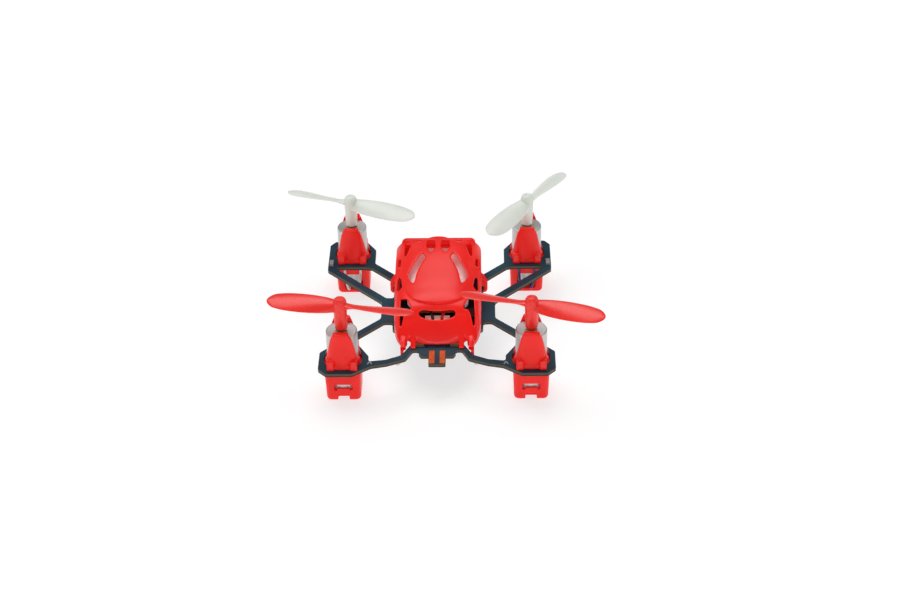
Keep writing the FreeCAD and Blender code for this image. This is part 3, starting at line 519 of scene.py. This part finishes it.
def holder_field(pitch):
    """Holder as a field over its +X half round the motor's axis, with its outer face at -Y."""
    low, high = (0.0, -4.8, -0.6), (4.8, 4.8, 16.4)
    X, Y, Z = grid_of(low, high, pitch)
    draft = DRAFT * np.maximum(BOARD_BOTTOM - Z, 0)
    qx = X - HOLDER_HALF[0] + HOLDER_EDGE + draft
    qy = np.abs(Y) - HOLDER_HALF[1] + HOLDER_EDGE + draft
    body = np.sqrt(np.maximum(qx, 0) ** 2 + np.maximum(qy, 0) ** 2)
    body = body + np.minimum(np.maximum(qx, qy), 0) - HOLDER_EDGE
    body = smax(body, -Z, 0.7)
    body = smax(body, Z - BOARD_BOTTOM, 0.15)
    ledge = box_field((X, Y, Z), (-1, -1.4, BOARD_BOTTOM - 0.75), (3.95, 1.4, BOARD_BOTTOM), 0.12)
    shape = smin(body, ledge, 0.2)
    # tongues, hooked over the case, with barbs and toes on the board
    radius = np.sqrt(X ** 2 + Y ** 2)
    tongue = polygon_field(X, Z, TONGUE + [(-x, z) for x, z in TONGUE[-2:0:-1]]) - 0.06
    wrap = np.maximum(TONGUE_IN - radius, radius - TONGUE_OUT)
    tongue = smax(smax(tongue, wrap, 0.25), 0.6 - np.abs(Y), 0.2)
    crown = box_field((X, np.abs(Y), Z), (-1.5, 2.35, CAN_TOP + 0.1), (1.5, 3.3, CAN_TOP + 1.2), 0.25)
    barb = smax(polygon_field(np.abs(Y), Z, BARB), np.abs(X - BARB_X) - 0.68, 0.2)
    barb = smax(barb, TONGUE_IN - radius, 0.1)
    toe = smax(polygon_field(np.abs(Y), Z, TOE), X - 1.5, 0.1)
    for part in (tongue, crown):
        shape = smin(shape, part, 0.15)
    shape = smin(smin(shape, barb, 0.06), smax(toe, TONGUE_IN - radius, 0.1), 0.3)
    # bores
    case = np.maximum(radius - CAN_SEAT, np.maximum(CAN_BASE - Z, Z - CAN_TOP - 0.06))
    shape = smax(shape, -case, 0.06)
    shape = smax(shape, -np.maximum(radius - LOWER_BORE, np.maximum(0.8 - Z, Z - 6)), 0.06)
    shape = smax(shape, -np.maximum(radius - FLOOR_HOLE, Z - 2), 0.15)
    # staple-shaped slot and foot recess in the outer face
    bar = box_field((X, Y, Z), (-1.72, -5, 3.0), (1.72, -2, 3.85), 0.12)
    arm = box_field((X, Y, Z), (1.2, -5, 2.5), (1.72, -2, 3.85), 0.12)
    shape = smax(shape, -np.minimum(bar, arm), 0.1)
    recess = box_field((X, Y, Z), (-1.08, -6, -2), (1.08, -1.9, 1.6), 0.15)
    shape = smax(shape, -recess, 0.12)
    # opening for the motor leads in the inner face, round at its foot
    door = np.maximum(inset_box(X, Z, 1.95, 1.0, 4.7, 0.9), 1.5 - Y)
    shape = smax(shape, -door, 0.15)
    return mirror_half(shape), low


def make_holders():
    verts, faces = net_of(holder_field, 0.1)
    for corner, (end, _, _) in CORNERS.items():
        place = verts * (1, -end, 1) + (can_mid[corner].x, can_mid[corner].y, 0)
        loops = faces[:, ::-1] if end > 0 else faces
        holder = mesh_object("holder_shell_" + corner, place, loops, red_holder, "airframe")
        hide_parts("motor_holder_" + corner)


# ---- propellers ----
PROP_RADIUS = 14.2
# along a blade, from the axis (0) to the tip (1): chord, pitch in degrees and thickness
CHORD = [(0.0, 2.6), (0.08, 2.8), (0.18, 3.3), (0.38, 4.05), (0.60, 4.35), (0.78, 4.15), (0.90, 3.5), (1.0, 2.6)]
PITCH = [(0.0, 32), (0.18, 29), (0.38, 23), (0.60, 18), (0.80, 14), (1.0, 11)]
THICK = [(0.0, 1.5), (0.08, 1.35), (0.16, 0.95), (0.38, 0.62), (0.60, 0.5), (1.0, 0.3)]
BLADE_Z = HUB_BASE + 4.85
TIP_START = 0.88  # where the tip starts to round off
CAMBER = 0.05
SHARP = math.radians(50)


def blade_mesh(sense):
    """One blade along +X, its leading edge high."""
    stations, around = 56, 28
    verts = []
    for s in np.sin(np.linspace(0.0, 1.0, stations) * math.pi / 2):
        tip = math.sqrt(max(1 - (max(s - TIP_START, 0) / (1 - TIP_START)) ** 2.2, 0.0))
        chord = float(curve(s, CHORD)) * max(tip, 0.03)
        angle = math.radians(float(curve(s, PITCH)))
        thick = float(curve(s, THICK)) * (0.4 + 0.6 * tip)
        for k in range(around):
            a = 2 * math.pi * k / around
            u = math.cos(a)
            v = math.sin(a) * thick / 2 * (0.55 + 0.45 * (1 - u * u)) + CAMBER * chord * (1 - u * u)
            w = u * chord / 2
            y = w * math.cos(angle) - v * math.sin(angle)
            z = w * math.sin(angle) + v * math.cos(angle)
            verts.append((s * PROP_RADIUS, sense * y, z))
    faces = []
    for i in range(stations - 1):
        for k in range(around):
            a, b = i * around + k, i * around + (k + 1) % around
            quad = (a, b, b + around, a + around)
            faces.append(quad[::-1] if sense > 0 else quad)
    first = tuple(range(around))
    last = tuple(range((stations - 1) * around, stations * around))
    faces.append(first if sense > 0 else first[::-1])
    faces.append(last[::-1] if sense > 0 else last)
    return verts, faces


def hub_mesh():
    """Turned hub with a domed top, a dimple and a bore for the shaft."""
    top = HUB_TOP - HUB_BASE
    profile = [(0.0, 4.0), (0.42, 4.0), (0.42, 0.0), (1.05, 0.0), (1.17, 0.08), (1.2, 0.25), (1.22, 2.5),
               (1.27, 4.2), (1.28, top - 1.0), (1.22, top - 0.62), (1.05, top - 0.28), (0.75, top - 0.07),
               (0.48, top), (0.36, top - 0.05), (0.26, top - 0.16), (0.0, top - 0.2)]
    return lathe(profile, 48)


def lathe(profile, around):
    """Closed turned mesh from (radius, height) rows, from axis to axis."""
    turns = [2 * math.pi * k / around for k in range(around)]
    verts, rings = [], []
    for radius, z in profile:
        if radius == 0:
            rings.append([len(verts)])
            verts.append((0, 0, z))
        else:
            rings.append(list(range(len(verts), len(verts) + around)))
            verts += [(radius * math.cos(a), radius * math.sin(a), z) for a in turns]
    faces = []
    for a, b in zip(rings, rings[1:]):
        for k in range(around):
            n = (k + 1) % around
            if len(a) == 1:
                faces.append((a[0], b[n], b[k]))
            elif len(b) == 1:
                faces.append((a[k], a[n], b[0]))
            else:
                faces.append((a[k], a[n], b[n], b[k]))
    return verts, faces


def plain_object(name, verts, faces):
    mesh = bpy.data.meshes.new(name)
    mesh.from_pydata([tuple(v) for v in verts], [], faces)
    mesh.update()
    obj = bpy.data.objects.new(name, mesh)
    bpy.context.scene.collection.objects.link(obj)
    return obj


def united(name, pieces):
    """Boolean union of closed meshes, as (vertices, faces)."""
    base = plain_object(name, *pieces[0])
    others = [plain_object(name + str(i), *p) for i, p in enumerate(pieces[1:])]
    for other in others:
        step = base.modifiers.new("join", "BOOLEAN")
        step.operation = "UNION"
        step.solver = "EXACT"
        step.object = other
    bpy.context.view_layer.update()
    done = base.evaluated_get(bpy.context.evaluated_depsgraph_get()).to_mesh()
    verts = [tuple(v.co) for v in done.vertices]
    faces = [tuple(p.vertices) for p in done.polygons]
    for obj in [base, *others]:
        bpy.data.objects.remove(obj)
    return verts, faces


def make_propellers():
    for corner, (end, angle, sense) in CORNERS.items():
        blade, loops = blade_mesh(sense)
        first = [(x, y, z + BLADE_Z) for x, y, z in blade]
        second = [(-x, -y, z) for x, y, z in first]
        hub, hub_loops = hub_mesh()
        hub = [(x, y, z + HUB_BASE) for x, y, z in hub]
        verts, faces = united("union", [(hub, hub_loops), (first, loops), (second, loops)])
        c, s = math.cos(math.radians(angle)), math.sin(math.radians(angle))
        at = can_mid[corner]
        verts = [(x * c - y * s + at.x, x * s + y * c + at.y, z) for x, y, z in verts]
        slot = "red_blade" if end < 0 else "white_blade"
        prop = mesh_object("blades_" + corner, verts, faces, MATERIALS[slot], "rotor_" + corner)
        prop.data.set_sharp_from_angle(angle=SHARP)
        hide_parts("propeller_" + corner)


# ---- printed marks on the front rings ----
CHEVRON = [(-0.5, -0.45), (-0.3, -0.45), (0.0, 0.12), (0.3, -0.45), (0.5, -0.45), (0.09, 0.42), (-0.09, 0.42)]
MARKS = {"left": (-12.86, -19.57), "right": (13.2, -19.75)}


def make_marks():
    count = len(CHEVRON)
    for side, (x, y) in MARKS.items():
        verts = [(x + u, y + v, BOARD_TOP + z) for z in (-0.01, 0.02) for u, v in CHEVRON]
        faces = [(i, (i + 1) % count, (i + 1) % count + count, i + count) for i in range(count)]
        for loop in ((0, 1, 2, 6), (2, 3, 4, 5), (2, 5, 6)):
            faces.append(tuple(i + count for i in loop))
            faces.append(loop[::-1])
        mark = mesh_object("ring_mark_" + side, verts, faces, ink, "airframe", smooth=False)


make_canopy()
make_holders()
make_propellers()
make_marks()

# ---- finishes of the CAD nodes ----
NODE_FINISH = {
    "frame_board": "circuit_board", "charging_contacts": "gold_plate", "battery_cell": "foil_pouch",
    "battery_tape": "amber_tape", "protection_board": "circuit_board", "foam_pad": "black_foam",
    "battery_socket": "white_nylon", "battery_plug": "white_nylon", "battery_wire_red": "red_insulation",
    "battery_wire_black": "black_insulation", "microcontroller": "chip_resin", "radio_chip": "chip_resin",
    "gyro_sensor": "chip_resin", "crystal": "tinned_steel", "motor_transistors": "chip_resin",
    "capacitors": "ceramic", "resistors": "chip_resin", "front_lamps": "clear_lens", "rear_lamps": "clear_lens",
    "antenna_wire": "black_insulation", "switch_housing": "tinned_steel", "switch_slider": "black_plastic",
    "motor_magnets": "nickel_plate", "motor_end_caps": "black_plastic", "motor_bushes": "bronze",
    "motor_brushes": "bronze", "canopy": "red_plastic",
}
# nodes that come once for each corner
CORNER_FINISH = {
    "motor_can": "motor_steel", "coil": "enamelled_copper", "commutator": "bronze", "shaft": "tinned_steel",
    "motor_holder": "red_plastic", "motor_leads": "white_insulation",
}
for corner, (end, _, _) in CORNERS.items():
    for kind, key in CORNER_FINISH.items():
        NODE_FINISH[kind + "_" + corner] = key
    NODE_FINISH["propeller_" + corner] = "red_blade" if end < 0 else "white_blade"
NODE_FINISH["motor_leads_rear_right"] = "blue_insulation"
for name, obj in nodes.items():
    obj.data.materials.clear()
    obj.data.materials.append(MATERIALS[NODE_FINISH[name]])


# ---- floor, light and camera ----
FLOOR_SIZE = 8.0
FLOOR_CELLS = 24
WORLD_LIGHT = 0.2
# name: place, size and power; each faces LIT
LIGHTS = {
    "key": ((-0.10, 0.3, 0.78), (0.8, 0.6), 4.6),
    "front": ((0.05, -0.8, 0.32), (0.5, 0.3), 1.7),
    "left": ((-0.7, -0.1, 0.3), (0.4, 0.4), 0.8),
    "right": ((0.7, -0.1, 0.3), (0.4, 0.4), 0.7),
}
LIT = Vector((0, 0, 0.01))
CAMERA_PITCH, CAMERA_YAW, CAMERA_ROLL = 34.88, -1.087, -1.015
CAMERA_TARGET = Vector((0.00291, 0.0, 0.00852))
CAMERA_DISTANCE = 0.3591
SENSOR = 36.0
FOCAL_SHARE = 1800 / 906  # focal length over the picture's width


def make_floor():
    row = FLOOR_CELLS + 1
    steps = [FLOOR_SIZE * (i / FLOOR_CELLS - 0.5) for i in range(row)]
    verts = [(x, y, 0.0) for x in steps for y in steps]
    faces = [(i * row + j, (i + 1) * row + j, (i + 1) * row + j + 1, i * row + j + 1)
             for i in range(FLOOR_CELLS) for j in range(FLOOR_CELLS)]
    mesh = bpy.data.meshes.new("floor")
    mesh.from_pydata(verts, [], faces)
    paper = {"Emission Color": (1, 1, 1, 1), "Emission Strength": 0.66}
    mesh.materials.append(material("floor_paper", (0.42, 0.42, 0.42), 0.9, other=(0.415, 0.415, 0.415), bump=0.0,
                                   sockets=paper))
    floor = bpy.data.objects.new("floor", mesh)
    bpy.context.scene.collection.objects.link(floor)


def make_lights():
    for name, (at, size, power) in LIGHTS.items():
        data = bpy.data.lights.new(name, "AREA")
        data.shape = "RECTANGLE"
        data.size, data.size_y = size
        data.energy = power
        obj = bpy.data.objects.new(name, data)
        bpy.context.scene.collection.objects.link(obj)
        obj.location = Vector(at)
        obj.rotation_mode = "QUATERNION"
        obj.rotation_quaternion = (LIT - Vector(at)).to_track_quat("-Z", "Y")


def make_world():
    world = bpy.data.worlds.new("studio")
    world.use_nodes = True
    background = world.node_tree.nodes["Background"]
    background.inputs["Color"].default_value = (1.0, 1.0, 1.0, 1)
    background.inputs["Strength"].default_value = WORLD_LIGHT
    bpy.context.scene.world = world


def make_camera():
    """Camera of the photograph's angle, in metres."""
    pitch, yaw, roll = (math.radians(a) for a in (CAMERA_PITCH, CAMERA_YAW, CAMERA_ROLL))
    forward = Vector((math.sin(yaw) * math.cos(pitch), math.cos(yaw) * math.cos(pitch), -math.sin(pitch)))
    right = Vector((math.cos(yaw), -math.sin(yaw), 0))
    up = right.cross(forward)
    side = math.cos(roll) * right + math.sin(roll) * up
    top = -math.sin(roll) * right + math.cos(roll) * up
    data = bpy.data.cameras.new("camera")
    data.sensor_width = SENSOR
    data.lens = FOCAL_SHARE * SENSOR
    data.clip_start, data.clip_end = 0.01, 20.0
    camera = bpy.data.objects.new("camera", data)
    bpy.context.scene.collection.objects.link(camera)
    turn = Matrix((side, top, -forward)).transposed()
    camera.matrix_world = Matrix.Translation(CAMERA_TARGET - forward * CAMERA_DISTANCE) @ turn.to_4x4()
    bpy.context.scene.camera = camera


make_floor()
make_world()
make_lights()
make_camera()
bpy.context.scene.view_settings.view_transform = "Standard"
